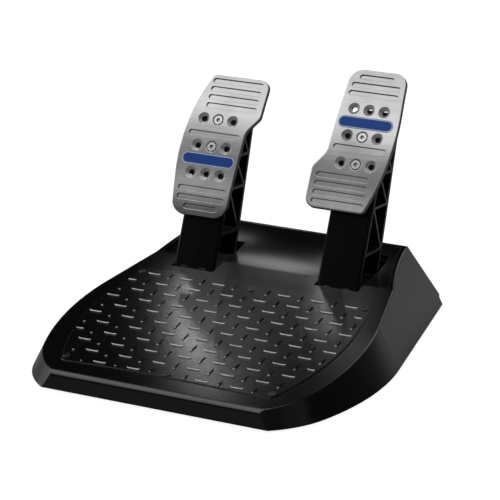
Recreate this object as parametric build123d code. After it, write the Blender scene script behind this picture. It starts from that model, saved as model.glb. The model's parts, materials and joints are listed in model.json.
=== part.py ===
"""Two-pedal set for a racing simulator: a moulded wedge housing with a tread plate,
a throttle pedal and a brake pedal on steel axles, each with a spring, stops and a sensor gear.

Sizes are in millimetres. Everything is drawn with y measured back from the front edge of the
housing and z up from the floor, and is moved at export so that the origin is on the floor at the
middle of the footprint. +X is to the user's right, +Y away from the user, +Z up.
"""
from math import acos, atan, atan2, cos, degrees, hypot, pi, radians, sin, tan
import os

from build123d import *

# Housing outline: half widths and stations are shares of the base's width and depth
base_width = 262.2
base_depth = 292.0
front_half_share = 0.3513
corner_half_share = 0.4573
corner_share = 0.1226
flank_share = 0.499
rear_half_share = 0.4115
flank_draft = 26.0
outline_overrun = 40.0
front_overrun = 16.0

# Housing side view
foot_stand = 1.5
lip_height = 13.2
front_lean = 1.9
crease_height = 40.7
crest_height = 52.4
crease_share = 0.6873
rim_level_share = 0.913
scoop_bend_share = 0.695
scoop_top_share = 0.905
crest_end_share = 0.918
rear_lip_height = 7.5
rear_lip_step = 3.0
wall = 2.5
rim_wall = 4.2
lip_radius = 4.8
rim_radius = 1.2
cut_overrun = 5.0
form_height = 70.0
reach = 600.0

# Ribs and posts under the panel
panel_rib_depth = 8.0
panel_rib_thickness = 2.0
panel_rib_spacing = 42.0
panel_rib_share = 0.531
post_radius = 4.0
boss_radius = 3.4
boss_depth = 8.0

# Bottom cover
cover_rise = 0.5
cover_thickness = 2.6
cover_gap = 0.4
cover_screw_shares = (
    (0.22, 0.048), (0.4, 0.26), (0.41, 0.5), (0.32, 0.885),
)
centre_screw_share = 0.37

# Fasteners
screw_radius = 1.5
screw_head_radius = 2.7
screw_head_height = 1.4
screw_gap = 0.15
thread_gap = 0.02
screw_bite = 6.0
driver_radius = 1.1
driver_depth = 0.8

# Tread plate
tread_pitch = 28.0
plate_share = 0.5568
plate_rear_half_share = 0.3661
plate_belly_half_share = 0.4005
plate_front_half_share = 0.3242
plate_rear_reach = 8.0
plate_front_share = 0.5
plate_bow = 3.0
plate_thickness = 2.0
plate_recess = 1.2
plate_gap = 0.3
plate_corner_radius = 4.0
plate_edge_chamfer = 0.6
bar_length = 11.4
bar_width = 2.7
bar_height = 1.0
bar_edge_inset = 2.2
bar_top_share = 0.45
bar_point_share = 0.72
tread_screw_inset = 0.9

# Feet and mounting inserts
foot_radius = 8.0
foot_recess = 1.2
foot_edge = 0.8
foot_shares = ((0.26, 0.09), (0.4, 0.4), (0.3, 0.83))
insert_radius = 4.0
mount_thread_radius = 2.5
insert_length = 8.0
insert_boss_radius = 7.0
insert_share = 0.2123
insert_half_share = 0.2098

# Pivots
pedal_centre_share = 0.23
pedal_shift = 1.0
pivot_height = 21.0
brake_pivot_share = 0.6781
throttle_setback = 6.3
axle_radius = 4.0
axle_running_gap = 0.05
bush_wall = 1.0
bush_length = 8.0
hub_radius = 14.0
hub_half_length = 17.5
spigot_radius = 8.5
blade_half_width = 10.0
tower_thickness = 7.0
tower_gap = 0.5
tower_length = 26.0
cap_rise = 8.0
cap_screw_offset = 9.0
cap_gap = 0.2
brake_travel = 17.0
throttle_travel = 20.0

# Pedal arm, in the pedal's own side view from the pivot
arm_width = 35.0
arm_front_reach = -15.1
arm_front_rise = 18.7
arm_front_lean = 24.2
arm_rear_reach = 35.0
arm_rear_rise = 45.8
arm_rear_lean = 18.4
arm_shoulder_rise = 17.0
arm_top_rise = 139.0
arm_ridge = 1.7
arm_corner_radius = 2.6
arm_front_flange = 5.0
arm_rear_flange = 2.6
arm_web = 4.0
arm_rib = 1.8
rib_rise_shares = (0.3, 0.54, 0.715, 0.885)
rib_tilt = 3.0
pad_start_rise = 87.0
pad_half_width = 10.0
pad_reach = 14.0
pad_flange_half_width = 15.5
pad_flange_reach = 7.0

# Pedal face
hole_pitch = 22.2
lower_hole_reach = 18.8
lower_hole_rise = 109.2
face_lean = 32.8
face_curve_radius = 400.0
face_thickness = 3.4
face_tail_length = 55.4
face_head_length = 59.5
tail_left = -23.0
tail_right = 23.6
left_side = -26.6
left_side_end = -22.0
left_bend = -24.6
left_bend_place = 25.0
head_left = -13.8
neck_side = 26.0
neck_place = 15.0
lobe_side = 35.3
lobe_place = 27.5
tail_corner_radius = 11.0
neck_radius = 14.0
lobe_radius = 7.5
head_right_radius = 8.0
head_left_radius = 4.0
face_edge_radius = 0.9
face_hole_spread = 12.6
dimple_radius = 4.8
dimple_depth = 2.1
face_hole_radius = 2.3
groove_width = 4.2
groove_depth = 1.1
groove_pitch = 7.0
head_groove_start = 33.4
head_groove_reach = (-11.4, 28.2)
head_groove_count = 4
middle_groove_place = 9.7
middle_groove_reach = (-20.2, 19.6)
tail_groove_start = -35.0
tail_groove_reaches = ((-18.8, 18.8), (-18.4, 18.2), (-11.4, 13.4))
badge_length = 45.2
badge_height = 9.2
badge_place = -11.1
badge_recess = 0.5
badge_thickness = 0.9
badge_gap = 0.15
face_screw_radius = 2.0
face_screw_head_radius = 3.6
face_screw_head_height = 1.9
face_screw_length = 9.0
face_screw_driver_radius = 1.7
face_screw_driver_depth = 1.1
arm_insert_radius = 3.2
arm_insert_length = 8.0

# Sensor gears
gear_module = 1.0
sector_teeth = 40
sector_first_tooth = -2
sector_last_tooth = 4
pinion_teeth = 14
gear_addendum_share = 0.92
gear_root_share = 1.25
gear_pressure_angle = 20.0
gear_backlash = 0.16
gear_width = 5.0
pinion_inset = 0.2
spigot_gap = 0.1
gear_screw_radius = 1.25
gear_screw_head_radius = 2.2
gear_screw_head_height = 1.2
gear_screw_circle = 11.25
gear_screw_bite = 5.0
gear_screw_count = 3

# Sensors
shaft_radius = 3.0
shaft_gap = 0.05
shaft_depth = 4.5
sensor_radius = 8.5
sensor_length = 9.0
sensor_neck_radius = 3.7
sensor_nut_flats = 10.0
sensor_nut_thickness = 2.0
bracket_thickness = 2.5
bracket_half_width = 9.5
bracket_gap = 0.1
terminal_width = 1.6
terminal_thickness = 0.6
terminal_length = 4.5
terminal_pitch = 5.0

# Return springs and stops
lever_reach = 28.0
lever_rise = 6.5
lever_thickness = 6.0
lever_half_width = 8.0
lever_tip = 44.0
spring_radius = 6.0
brake_wire_radius = 1.1
throttle_wire_radius = 0.8
spring_turns = 4
spring_nub_radius = 3.3
spring_nub_height = 3.0
spring_seat_radius = 8.0
spring_seat_height = 1.0
toe_reach = 20.0
toe_drop = 7.0
toe_thickness = 5.0
toe_half_width = 6.0
toe_offset = 3.0
stop_length = 5.0
stop_width = 10.0
stop_gap = 0.1
end_stop_start = 37.5
end_stop_length = 5.5

# Signal board and cable outlet
board_length = 44.0
board_width = 30.0
board_thickness = 1.6
board_share = 0.8322
board_stand = 5.0
board_post_radius = 3.0
board_hole_inset = 3.5
connector_length = 16.0
connector_width = 7.0
connector_height = 6.5
outlet_from_rear = 12.0
outlet_rise = 12.5
outlet_wall = 3.0
outlet_pocket_half = 5.8
outlet_radius = 3.8
cable_radius = 2.4
grommet_flange = 1.6
grommet_flange_radius = 5.0
grommet_nose = 3.0
grommet_nose_radius = 3.6

# Worked out from the sizes above
front_half_width = front_half_share * base_width
corner_half_width = corner_half_share * base_width
flank_half_width = base_width / 2
rear_half_width = rear_half_share * base_width
corner_from_front = corner_share * base_depth
flank_from_front = flank_share * base_depth
crease_from_front = crease_share * base_depth
rim_level_from_front = rim_level_share * base_depth
scoop_bend_from_front = scoop_bend_share * base_depth
scoop_top_from_front = scoop_top_share * base_depth
crest_end_from_front = crest_end_share * base_depth
panel_rib_reach = panel_rib_share * base_depth
plate_from_front = plate_share * base_depth
plate_rear_half_width = plate_rear_half_share * base_width
plate_belly_half_width = plate_belly_half_share * base_width
plate_front_half_width = plate_front_half_share * base_width
plate_front_reach = plate_front_share * base_depth
tread_rows = int(plate_front_reach // tread_pitch)
tread_columns = int(plate_belly_half_width // tread_pitch)
insert_from_front = insert_share * base_depth
insert_half_spacing = insert_half_share * base_width
pedal_centre = pedal_centre_share * base_width
brake_pivot_from_front = brake_pivot_share * base_depth
board_from_front = board_share * base_depth
skirt_z = foot_stand
cover_z = skirt_z + cover_rise
cover_top = cover_z + cover_thickness
crest_z = skirt_z + crest_height
tower_inner = hub_half_length + tower_gap
tower_outer = tower_inner + tower_thickness
bush_radius = axle_radius + axle_running_gap + bush_wall
pilot_radius = screw_radius + thread_gap
panel_slope = (crease_height - lip_height) / crease_from_front
panel_tilt = degrees(atan(panel_slope))
arm_front_slope = tan(radians(arm_front_lean))
arm_rear_slope = tan(radians(arm_rear_lean))
face_tangent = (sin(radians(face_lean)), cos(radians(face_lean)))
gear_centre_distance = gear_module * (sector_teeth + pinion_teeth) / 2
spring_length = pivot_height + lever_rise - cover_top - spring_seat_height
gear_face_x = blade_half_width
bracket_x = hub_half_length + bracket_thickness
arm_span = 2 * arm_top_rise

PARTS = {}


def panel_z(y, drop=0.0):
    """Height of the sloping panel at y, less a drop square to it."""
    return skirt_z + lip_height + y * panel_slope - drop / cos(radians(panel_tilt))


def side_prism(lines, half=reach):
    """Solid across the whole width from a closed outline in the side view."""
    return extrude(Plane.YZ * make_face(lines), amount=half, both=True)


def x_bar(profile, x_low, x_high):
    """Solid between two x stations from a sketch in the side view."""
    return extrude(Plane.YZ.offset(x_low) * profile, amount=x_high - x_low)


def disc_z(x, y, z_low, z_high, radius):
    """Upright cylinder between two heights."""
    height = z_high - z_low
    return Pos(x, y, z_low + height / 2) * Cylinder(radius, height)


def disc_x(x_low, x_high, y, z, radius):
    """Cylinder along X between two stations."""
    length = x_high - x_low
    return Pos(x_low + length / 2, y, z) * Rot(0, 90, 0) * Cylinder(radius, length)


def block(x_low, x_high, y_low, y_high, z_low, z_high):
    """Box between two corners."""
    size = (x_high - x_low, y_high - y_low, z_high - z_low)
    middle = ((x_low + x_high) / 2, (y_low + y_high) / 2, (z_low + z_high) / 2)
    return Pos(*middle) * Box(*size)


def keep(name, shape):
    """Files a part under its node name, with the origin moved to the middle of the footprint."""
    PARTS[name] = Pos(0, -base_depth / 2, 0) * shape


def group(solids):
    """Separate solids that share one node."""
    return Compound(children=[s if isinstance(s, Solid) else s.solid() for s in solids])


# Housing


def footprint(inset=0.0):
    """Outline of the skirt, run past both ends, and pulled in by a wall."""
    slope = (flank_half_width - rear_half_width) / (base_depth - flank_from_front)
    rear_x = -rear_half_width + slope * outline_overrun
    rear_y = base_depth + outline_overrun
    flank = Line((rear_x, rear_y), (-flank_half_width, flank_from_front))
    side = TangentArc(flank @ 1, (-corner_half_width, corner_from_front), tangent=flank % 1)
    corner = TangentArc(side @ 1, (-front_half_width, 0), tangent=side % 1)
    nose = Line(corner @ 1, corner @ 1 + (corner % 1) * front_overrun)
    left = Curve() + [flank, side, corner, nose]
    tip = nose @ 1
    closing = Line(tip, (-tip.X, tip.Y)) + Line((rear_x, rear_y), (-rear_x, rear_y))
    outline = make_face(left + mirror(left, Plane.YZ) + closing)
    if inset > 0:
        outline = offset(outline, amount=-inset, kind=Kind.INTERSECTION)
    return outline


def barrel(inset=0.0):
    """Skirt outline drawn upwards with its draft."""
    return extrude(Pos(0, 0, skirt_z) * footprint(inset), amount=form_height, taper=flank_draft)


def rim_profile():
    """Outer side view: front face, panel, rising rims, crest, rear slope and rear lip."""
    front_top = (front_lean, panel_z(front_lean))
    crease = (crease_from_front, panel_z(crease_from_front))
    level = (rim_level_from_front, crest_z)
    rim = TangentArc(level, crease, tangent=(-1, 0))
    lip_z = skirt_z + rear_lip_height
    body = Polyline(
        level,
        (crest_end_from_front, crest_z),
        (base_depth, lip_z),
        (base_depth - rear_lip_step, lip_z - rear_lip_step / 2),
        (base_depth - rear_lip_step, skirt_z),
        (0, skirt_z),
        front_top,
        crease,
    )
    return body + rim


def scoop_line(drop=0.0):
    """Floor and concave back wall of the scoop, lowered square to itself by a drop."""
    floor_z = panel_z(crease_from_front)
    sketch_arc = TangentArc(
        (scoop_bend_from_front, floor_z), (scoop_top_from_front, crest_z), tangent=(1, 0)
    )
    centre = sketch_arc.arc_center
    radius = sketch_arc.radius + drop
    top_y = scoop_top_from_front - drop
    top_z = centre.Y - (radius**2 - (top_y - centre.X) ** 2) ** 0.5
    arc = TangentArc(
        (scoop_bend_from_front, floor_z - drop), (top_y, top_z), tangent=(1, 0)
    )
    return arc, floor_z - drop


def scoop_form():
    """Space above the scoop between the side rims."""
    arc, floor_z = scoop_line()
    top_z = skirt_z + form_height
    lines = arc + Polyline(
        arc @ 1, (scoop_top_from_front, top_z), (crease_from_front, top_z),
        (crease_from_front, floor_z), arc @ 0,
    )
    return barrel(rim_wall) & side_prism(lines)


def cavity_form():
    """Hollow under the housing: parallel to the panel, the scoop and the rear slope."""
    arc, floor_z = scoop_line(wall)
    start = wall + front_lean
    rear_y = rear_inner_y()
    top = arc @ 1
    lip_z = skirt_z + rear_lip_height
    lines = arc + Polyline(
        top,
        (top.X + cover_gap, top.Y),
        (rear_y, lip_z),
        (rear_y, 0),
        (wall, 0),
        (start, panel_z(start, wall)),
        (crease_from_front, floor_z),
        arc @ 0,
    )
    return barrel(wall) & side_prism(lines)


def cover_screw_points():
    """Places of the cover screws, from shares of the footprint."""
    points = [(0, centre_screw_share * base_depth)]
    for x_share, y_share in cover_screw_shares:
        for side in (-1, 1):
            points.append((side * x_share * base_width, y_share * base_depth))
    return points


def tread_plane(lift=0.0):
    """Plane of the panel, with its origin below the middle rear tread screw."""
    origin = (0, plate_from_front, panel_z(plate_from_front))
    tilt = radians(panel_tilt)
    plane = Plane(origin=origin, x_dir=(1, 0, 0), z_dir=(0, -sin(tilt), cos(tilt)))
    return plane.offset(lift)


def tread_screw_points():
    """Places of the tread screws in the panel's own plane."""
    rear = plate_rear_half_width - tread_screw_inset
    front = plate_front_half_width - tread_screw_inset
    front_y = -tread_rows * tread_pitch
    return [(-rear, 0), (0, 0), (rear, 0), (-front, front_y), (0, front_y), (front, front_y)]


def tread_outline(grow=0.0):
    """Outline of the tread plate, bowed at its ends and bellied, grown all round by a gap."""
    rear = (plate_rear_half_width + grow, plate_rear_reach + grow)
    front = (plate_front_half_width + grow, -plate_front_reach - grow)
    belly = (plate_belly_half_width + grow, (rear[1] + front[1]) / 2)
    side = ThreePointArc(rear, belly, front)
    back = ThreePointArc((-rear[0], rear[1]), (0, rear[1] + plate_bow), rear)
    toe = ThreePointArc(front, (0, front[1] + plate_bow), (-front[0], front[1]))
    outline = make_face(Curve() + [side, back, toe] + mirror(side, Plane.YZ))
    return fillet(outline.vertices(), plate_corner_radius + grow)


def panel_ribs():
    """Rib grid that hangs from the underside of the panel."""
    ribs = Part()
    half = panel_rib_thickness / 2
    count = int(flank_half_width // panel_rib_spacing)
    for i in range(-count, count + 1):
        x = i * panel_rib_spacing
        ribs += block(x - half, x + half, 0, panel_rib_reach, 0, form_height)
    rows = int(panel_rib_reach // panel_rib_spacing)
    for j in range(1, rows + 1):
        y = j * panel_rib_spacing
        ribs += block(-reach, reach, y - half, y + half, 0, form_height)
    depth = wall + panel_rib_depth
    zone = Polyline(
        (0, panel_z(0, depth)), (panel_rib_reach, panel_z(panel_rib_reach, depth)),
        (panel_rib_reach, form_height), (0, form_height), (0, panel_z(0, depth)),
    )
    return ribs & side_prism(zone)


def pivot_y(pedal):
    """Distance of a pedal's pivot from the front edge."""
    return brake_pivot_from_front + (throttle_setback if pedal == "throttle" else 0.0)


def travel_of(pedal):
    """Travel of a pedal in degrees."""
    return throttle_travel if pedal == "throttle" else brake_travel


def centre_x(pedal):
    """Middle plane of a pedal."""
    return (pedal_centre if pedal == "throttle" else -pedal_centre) - pedal_shift


def slot_cutter(pedal):
    """Slot for an arm through panel and scoop: its rest front line to its pressed rear line."""
    y, z = pivot_y(pedal), pivot_height
    turn = radians(travel_of(pedal))
    gap = 2 * tower_gap
    rear = (
        arm_rear_reach * cos(turn) + arm_rear_rise * sin(turn),
        arm_rear_rise * cos(turn) - arm_rear_reach * sin(turn),
    )
    rear_slope = tan(radians(arm_rear_lean) + turn)

    def front_at(v):
        return y + arm_front_reach + (v - arm_front_rise) * arm_front_slope - gap

    def rear_at(v):
        return y + rear[0] + (v - rear[1]) * rear_slope + gap

    low, high = arm_shoulder_rise - cut_overrun, form_height - z
    outline = Polyline(
        (front_at(low), z + low), (rear_at(low), z + low),
        (rear_at(high), z + high), (front_at(high), z + high), (front_at(low), z + low),
    )
    half = arm_width / 2 + gap
    x = centre_x(pedal)
    return x_bar(make_face(outline), x - half, x + half)


def outlet_y():
    """Outer face of the wall that holds the cable grommet."""
    return base_depth - outlet_from_rear


def rear_inner_y():
    """Inner face of the rear wall at the skirt."""
    slope = (base_depth - crest_end_from_front) / (crest_height - rear_lip_height)
    return base_depth - wall * hypot(1, slope) - rear_lip_step


def rounded_outer_form():
    """Solid outer form with a wide round along the front lip and a narrow one on its rims."""
    form = (barrel() & side_prism(rim_profile())).solid()
    lip = [e for e in form.edges() if abs(e.center().X) < rim_radius and on_lip(e)]
    form = fillet(lip, lip_radius)
    low = skirt_z + rear_lip_height + rear_lip_step
    rims = []
    for edge in form.edges():
        middle = edge.center()
        across = abs(middle.X) < rim_radius
        behind = across and middle.Y > scoop_top_from_front
        if edge.bounding_box().max.Z > low and (behind or not across):
            rims.append(edge)
    return fillet(rims, rim_radius)


def on_lip(edge):
    """True for the edge between the front face and the panel."""
    middle = edge.center()
    return middle.Y < 2 * front_lean and middle.Z > skirt_z + front_lean


def top_housing():
    """Moulded housing: drafted barrel, panel, scoop, thin rims, open underneath."""
    inner = cavity_form()
    for x, y in cover_screw_points():
        inner -= disc_z(x, y, cover_top, form_height, post_radius)
    inner -= panel_ribs()
    under_panel = tread_plane(-wall - boss_depth)
    for x, y in tread_screw_points():
        inner -= extrude(under_panel * Pos(x, y) * Circle(boss_radius), amount=boss_depth + wall)
    face_y = outlet_y()
    outlet_z = skirt_z + outlet_rise
    half = outlet_pocket_half + outlet_wall
    inner -= block(
        -half, half, face_y - outlet_wall, base_depth, cover_top + cover_gap, outlet_z + half
    )
    housing = rounded_outer_form() - scoop_form() - inner
    housing -= extrude(tread_plane(-plate_recess) * tread_outline(plate_gap), amount=cut_overrun)
    for x, y in tread_screw_points():
        pilot = tread_plane(-boss_depth) * Pos(x, y) * Circle(pilot_radius)
        housing -= extrude(pilot, amount=boss_depth)
    for x, y in cover_screw_points():
        housing -= disc_z(x, y, cover_top, cover_top + screw_bite, pilot_radius)
    for pedal in ("brake", "throttle"):
        housing -= slot_cutter(pedal)
    pocket = outlet_pocket_half
    housing -= block(
        -pocket, pocket, face_y, base_depth + cut_overrun, outlet_z - pocket, outlet_z + pocket
    )
    hole = Pos(0, face_y, outlet_z) * Rot(90, 0, 0) * Cylinder(outlet_radius, 4 * outlet_wall)
    return housing - hole


# Tread plate


def tread_bar(x, y, upright):
    """Outline pair of one raised bar, foot and crest, pointed at both ends."""
    half_length, half_width = bar_length / 2, bar_width / 2
    shapes = []
    for share in (1.0, bar_top_share):
        tip = half_length - half_width * (1 - share)
        knee = tip * bar_point_share
        side = half_width * share
        points = [(tip, 0), (knee, side), (-knee, side), (-tip, 0), (-knee, -side), (knee, -side)]
        if upright:
            points = [(-v, u) for u, v in points]
        shapes.append([(x + u, y + v) for u, v in points])
    return shapes


def bar_places():
    """Middles of the raised bars in the panel's plane, and whether each stands upright."""
    half = tread_pitch / 2
    places = []
    for j in range(-1, 2 * tread_rows + 2):
        for i in range(-2 * tread_columns - 1, 2 * tread_columns + 2):
            x, y = i * half, -j * half
            near = [hypot(x - sx, y - sy) for sx, sy in tread_screw_points()]
            if min(near) > bar_length / 2 + screw_head_radius / 2 - bar_width:
                places.append((x, y, (i + j) % 2 == 1))
    return places


def tread_plate():
    """Thin plate with a checkered pattern of raised bars."""
    top = plate_thickness - plate_recess
    plate = extrude(tread_plane(-plate_recess) * tread_outline(), amount=plate_thickness)
    upper = [e for e in plate.edges() if abs(height_over_panel(e) - top) < bar_height / 4]
    plate = chamfer(upper, plate_edge_chamfer)
    zone = tread_plane() * tread_outline(-bar_edge_inset)
    zone = extrude(zone, amount=tread_pitch, both=True).solid()
    foot, crest = tread_plane(top - screw_gap), tread_plane(top + bar_height)
    bars = []
    for x, y, upright in bar_places():
        low, high = tread_bar(x, y, upright)
        ends = (foot * Polyline(low, close=True), crest * Polyline(high, close=True))
        bars.append(loft([make_face(end) for end in ends]))
    bars = (Part() + bars) & zone
    plate += [bar for bar in bars.solids() if bar.volume > bar_width]
    for x, y in tread_screw_points():
        hole = tread_plane() * Pos(x, y) * Circle(screw_radius + screw_gap)
        plate -= extrude(hole, amount=plate_thickness, both=True)
    return plate


def height_over_panel(edge):
    """Height of the middle of an edge square to the panel."""
    middle = edge.position_at(0.5)
    return tread_plane().to_local_coords(middle).Z


def panel_screw(x, y):
    """Pan head screw that holds the tread plate."""
    top = plate_thickness - plate_recess
    seat = tread_plane(top) * Pos(x, y)
    head = seat * Pos(0, 0, screw_head_height / 2) * Cylinder(screw_head_radius, screw_head_height)
    length = top + boss_depth - screw_gap
    shank = seat * Pos(0, 0, -length / 2) * Cylinder(screw_radius, length)
    socket = seat * Pos(0, 0, screw_head_height) * RegularPolygon(driver_radius, 6)
    rounded = fillet(head.edges().sort_by(Axis.Z)[-1], screw_head_height / 2)
    return (rounded + shank) - extrude(socket, amount=-driver_depth)


# Bottom cover


def cover_plate():
    """Flat cover inside the skirt, drafted like the skirt itself."""
    front = wall + cover_gap + front_lean / 2
    slab = block(-reach, reach, front, rear_inner_y() - cover_gap, cover_z, cover_top)
    return barrel(wall + cover_gap) & slab


def foot_points():
    """Middles of the rubber feet."""
    return [(s * x * base_width, y * base_depth) for x, y in foot_shares for s in (-1, 1)]


def insert_points():
    """Middles of the mounting inserts."""
    return [(s * insert_half_spacing, insert_from_front) for s in (-1, 1)]


def board_points():
    """Middles of the board's corner posts."""
    x = board_length / 2 - board_hole_inset
    y = board_width / 2 - board_hole_inset
    return [(i * x, board_from_front + j * y) for i in (-1, 1) for j in (-1, 1)]


def tower_pair(pedal):
    """Two axle towers, the sensor bracket and the spring seat of a pedal, on the cover."""
    y, x, half = pivot_y(pedal), centre_x(pedal), tower_length / 2
    tower = Part()
    for low, high in ((-tower_outer, -tower_inner), (tower_inner, tower_outer)):
        tower += block(x + low, x + high, y - half, y + half, cover_z, pivot_height)
    tower -= disc_x(x - reach, x + reach, y, pivot_height, axle_radius + thread_gap)
    for tower_x in (-1, 1):
        middle = x + tower_x * (tower_inner + tower_outer) / 2
        for side in (-1, 1):
            hole_y = y + side * cap_screw_offset
            low = pivot_height - screw_bite - screw_gap
            tower -= disc_z(middle, hole_y, low, pivot_height + cap_rise, pilot_radius)
    gear_y = y - gear_centre_distance
    low = x + hub_half_length
    bracket = block(
        low, low + bracket_thickness, gear_y - bracket_half_width, gear_y + bracket_half_width,
        cover_z, pivot_height,
    )
    bracket += disc_x(low, low + bracket_thickness, gear_y, pivot_height, bracket_half_width)
    bracket -= disc_x(
        low - bracket_thickness, x + reach, gear_y, pivot_height, sensor_neck_radius + bracket_gap
    )
    seat_top = cover_top + spring_seat_height
    seat = disc_z(x, y + lever_reach, cover_z, seat_top, spring_seat_radius)
    seat += disc_z(x, y + lever_reach, cover_z, seat_top + spring_nub_height, spring_nub_radius)
    return [tower, bracket, seat]


def bottom_cover():
    """Cover with towers, brackets, seats, posts and bosses."""
    cover = cover_plate()
    for pedal in ("brake", "throttle"):
        for piece in tower_pair(pedal):
            cover += piece
    for x, y in board_points():
        cover += disc_z(x, y, cover_z, cover_top + board_stand, board_post_radius)
    for x, y in insert_points():
        cover += disc_z(x, y, cover_z, cover_z + insert_length, insert_boss_radius)
    for x, y in board_points():
        low = cover_top + screw_gap
        cover -= disc_z(x, y, low, low + board_stand, pilot_radius)
    for x, y in insert_points():
        cover -= disc_z(x, y, 0, pivot_height, insert_radius + thread_gap)
    for x, y in cover_screw_points():
        cover -= disc_z(x, y, 0, pivot_height, screw_radius + screw_gap)
        head_top = cover_z + screw_head_height
        cover -= disc_z(x, y, 0, head_top, screw_head_radius + screw_gap)
    for x, y in foot_points():
        cover -= disc_z(x, y, 0, cover_z + foot_recess, foot_radius + thread_gap)
    return cover


def cover_screw(x, y):
    """Flush screw that pulls the cover to the housing's posts."""
    top = cover_z + screw_head_height
    tip = cover_top + screw_bite - screw_gap
    screw = disc_z(x, y, cover_z, top, screw_head_radius) + disc_z(x, y, top, tip, screw_radius)
    socket = Pos(x, y, cover_z) * RegularPolygon(driver_radius, 6)
    return screw - extrude(socket, amount=driver_depth)


def rubber_foot(x, y):
    """Round rubber foot, glued into its recess."""
    foot = disc_z(x, y, 0, cover_z + foot_recess, foot_radius)
    return chamfer(foot.edges().sort_by(Axis.Z)[0], foot_edge)


def mounting_insert(x, y):
    """Threaded sleeve that takes a bolt from below."""
    sleeve = disc_z(x, y, cover_z, cover_z + insert_length, insert_radius)
    return sleeve - disc_z(x, y, 0, pivot_height, mount_thread_radius)


def axle(pedal):
    """Steel axle of a pedal."""
    x = centre_x(pedal)
    return disc_x(x - tower_outer, x + tower_outer, pivot_y(pedal), pivot_height, axle_radius)


def axle_cap(pedal, side):
    """Cap that closes a tower over the axle."""
    y, x, half = pivot_y(pedal), centre_x(pedal), tower_length / 2
    low, high = sorted((side * tower_inner, side * tower_outer))
    top = pivot_height + cap_rise
    cap = block(x + low, x + high, y - half, y + half, pivot_height, top)
    ends = [e for e in cap.edges().filter_by(Axis.X) if e.center().Z > pivot_height + cap_gap]
    cap = chamfer(ends, cap_rise / 4)
    cap -= disc_x(x - reach, x + reach, y, pivot_height, axle_radius + thread_gap)
    for end in (-1, 1):
        hole = disc_z(
            x + (low + high) / 2, y + end * cap_screw_offset, 0, top + cap_rise,
            screw_radius + screw_gap,
        )
        cap -= hole
        cap -= disc_z(
            x + (low + high) / 2, y + end * cap_screw_offset, top - cap_rise / 4,
            top + cap_rise, screw_head_radius + screw_gap,
        )
    return cap


def cap_screw(pedal, side, end):
    """Screw that clamps an axle cap to its tower."""
    x = centre_x(pedal) + side * (tower_inner + tower_outer) / 2
    y = pivot_y(pedal) + end * cap_screw_offset
    seat = pivot_height + cap_rise - cap_rise / 4
    low = pivot_height - screw_bite
    screw = disc_z(x, y, low, seat, screw_radius)
    screw += disc_z(x, y, seat, seat + screw_head_height, screw_head_radius)
    socket = Pos(x, y, seat + screw_head_height) * RegularPolygon(driver_radius, 6)
    return screw - extrude(socket, amount=-driver_depth)


def stop_block(pedal, start, length, width, top, middle=0.0):
    """Rubber block that stands on the cover."""
    x, y = centre_x(pedal) + middle, pivot_y(pedal) + start
    pad = block(x - width / 2, x + width / 2, y, y + length, cover_top, top)
    return chamfer(pad.edges().filter_by(Axis.Z), foot_edge)


def rest_stop(pedal):
    """Stop under the toe, which the unpressed pedal rests on."""
    top = pivot_height - toe_drop - stop_gap
    return stop_block(pedal, -toe_reach, stop_length, stop_width, top, -toe_offset)


def end_stop(pedal):
    """Stop under the lever, which ends the pedal's travel."""
    turn = radians(travel_of(pedal))
    far = end_stop_start + end_stop_length
    along = (far - lever_rise * sin(turn)) / cos(turn)
    drop = along * sin(turn) - lever_rise * cos(turn)
    top = pivot_height - drop - stop_gap
    return stop_block(pedal, end_stop_start, end_stop_length, stop_width, top)


def return_spring(pedal):
    """Compression spring with ground ends between the seat and the lever."""
    wire = throttle_wire_radius if pedal == "throttle" else brake_wire_radius
    mean = spring_radius - wire
    rise = spring_length / spring_turns
    low = cover_top + spring_seat_height
    path = Pos(0, 0, -wire / 2) * Helix(rise, spring_length + wire, mean)
    start = path @ 0
    profile = Plane(origin=start, x_dir=(0, 0, 1), z_dir=path % 0) * Circle(wire)
    coil = sweep(profile, path=path)
    coil = coil & Pos(0, 0, spring_length / 2) * Cylinder(2 * spring_radius, spring_length)
    return Pos(centre_x(pedal), pivot_y(pedal) + lever_reach, low) * coil


# Pedal arm, drawn about its pivot


def front_at(v):
    """Front ridge line of the arm."""
    return arm_front_reach + (v - arm_front_rise) * arm_front_slope


def rear_at(v):
    """Rear line of the arm."""
    return arm_rear_reach + (v - arm_rear_rise) * arm_rear_slope


def bar_between(start, end, width):
    """Thin straight bar in the side view."""
    length = hypot(end[0] - start[0], end[1] - start[1])
    angle = degrees(atan2(end[1] - start[1], end[0] - start[0]))
    middle = ((start[0] + end[0]) / 2, (start[1] + end[1]) / 2)
    return Pos(*middle) * Rot(0, 0, angle) * Rectangle(length + width, width)


def arm_pockets():
    """Pockets in the arm's sides between its flanges, ribs and diagonals."""
    low, high = arm_shoulder_rise + arm_rear_flange, arm_top_rise - arm_rear_flange
    inset = arm_front_flange / cos(radians(arm_front_lean))
    back = arm_rear_flange / cos(radians(arm_rear_lean))

    def ends(v):
        tilt = rib_tilt / 2
        return (front_at(v + tilt) + inset, v + tilt), (rear_at(v - tilt) - back, v - tilt)

    zone = make_face(Polyline(
        (front_at(low) + inset, low), (rear_at(low) - back, low),
        (rear_at(high) - back, high), (front_at(high) + inset, high), close=True,
    ))
    rises = [share * arm_top_rise for share in rib_rise_shares]
    for rise in rises:
        zone -= bar_between(*ends(rise), arm_rib)
    for lower, upper in zip(rises, rises[1:]):
        zone -= bar_between(ends(upper)[0], ends(lower)[1], arm_rib)
    return zone


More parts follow.
